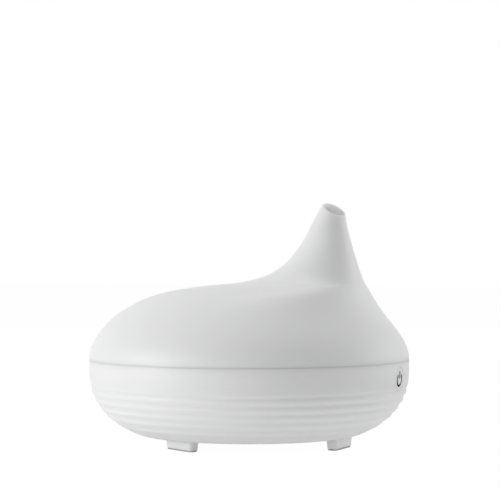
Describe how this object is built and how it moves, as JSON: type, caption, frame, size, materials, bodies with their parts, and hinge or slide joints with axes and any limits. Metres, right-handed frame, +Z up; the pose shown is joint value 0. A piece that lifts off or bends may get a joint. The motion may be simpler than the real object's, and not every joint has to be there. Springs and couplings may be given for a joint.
{
  "type": "cool mist humidifier",
  "caption": "Small ultrasonic cool mist humidifier: a squat round body with a lift-off cover drawn up into an off-centre spout, on a rippled base with a tank, fan and power key.",
  "frame": {"origin": "on the surface that it stands on, under the vertical axis of the round body", "axes": "+Z up; the front, with the spout and the power key, faces -Y and the power inlet faces +Y"},
  "size_m": [0.168, 0.168, 0.127],
  "materials": {
    "satin_white": "satin moulded white plastic, very fine texture",
    "inner_white": "smooth white polypropylene, slightly translucent look",
    "foot_rubber": "matte grey rubber",
    "seal_rubber": "translucent silicone rubber",
    "steel": "zinc plated steel",
    "silvered": "satin silvered metal",
    "fan_black": "black glass-filled plastic",
    "board_green": "green solder-masked board",
    "component_black": "black moulded component",
    "lead_black": "black insulated wire"
  },
  "bodies": {
    "base": {"base_shell": "satin_white", "bottom_cover": "satin_white", "cover_screw_1": "steel", "cover_screw_2": "steel", "cover_screw_3": "steel", "cover_screw_4": "steel", "foot_front": "satin_white", "foot_pad_front": "foot_rubber", "foot_screw_front": "steel", "foot_rear_right": "satin_white", "foot_pad_rear_right": "foot_rubber", "foot_screw_rear_right": "steel", "foot_rear_left": "satin_white", "foot_pad_rear_left": "foot_rubber", "foot_screw_rear_left": "steel", "water_tank": "inner_white", "chimney_cap": "inner_white", "transducer_disc": "silvered", "transducer_seal": "seal_rubber", "transducer_clamp": "steel", "clamp_screw_1": "steel", "clamp_screw_2": "steel", "clamp_screw_3": "steel", "fan_frame": "fan_black", "fan_hood": "inner_white", "fan_screw_1": "steel", "fan_screw_2": "steel", "main_board": "board_green", "board_screw_1": "steel", "board_screw_2": "steel", "inductor": "component_black", "capacitor_1": "silvered", "capacitor_2": "silvered", "transistor": "component_black", "heat_sink": "silvered", "control_chip": "component_black", "fan_socket": "inner_white", "disc_socket": "inner_white", "power_socket": "inner_white", "dc_jack": "component_black", "tact_switch": "steel", "switch_board": "board_green", "switch_screw_1": "steel", "switch_screw_2": "steel", "fan_lead": "lead_black", "disc_lead": "lead_black", "power_lead": "lead_black", "switch_lead": "lead_black"},
    "cover": {"top_cover": "satin_white", "splash_guard": "inner_white"},
    "button": {"power_button": "satin_white", "switch_plunger": "component_black"},
    "fan": {"fan_rotor": "fan_black"}
  },
  "joints": [
    {"name": "cover_lift", "type": "slide", "parent": "base", "child": "cover", "axis": [0, 0, 1], "range_m": [0, 0.07]},
    {"name": "button_press", "type": "slide", "parent": "base", "child": "button", "axis": [0, 1, 0], "range_m": [0, 0.0004], "stiffness_N_per_m": 1500},
    {"name": "fan_spin", "type": "hinge", "parent": "base", "child": "fan", "pos_m": [0, 0.016, 0.0155], "axis": [0, 0, 1], "continuous": true}
  ]
}
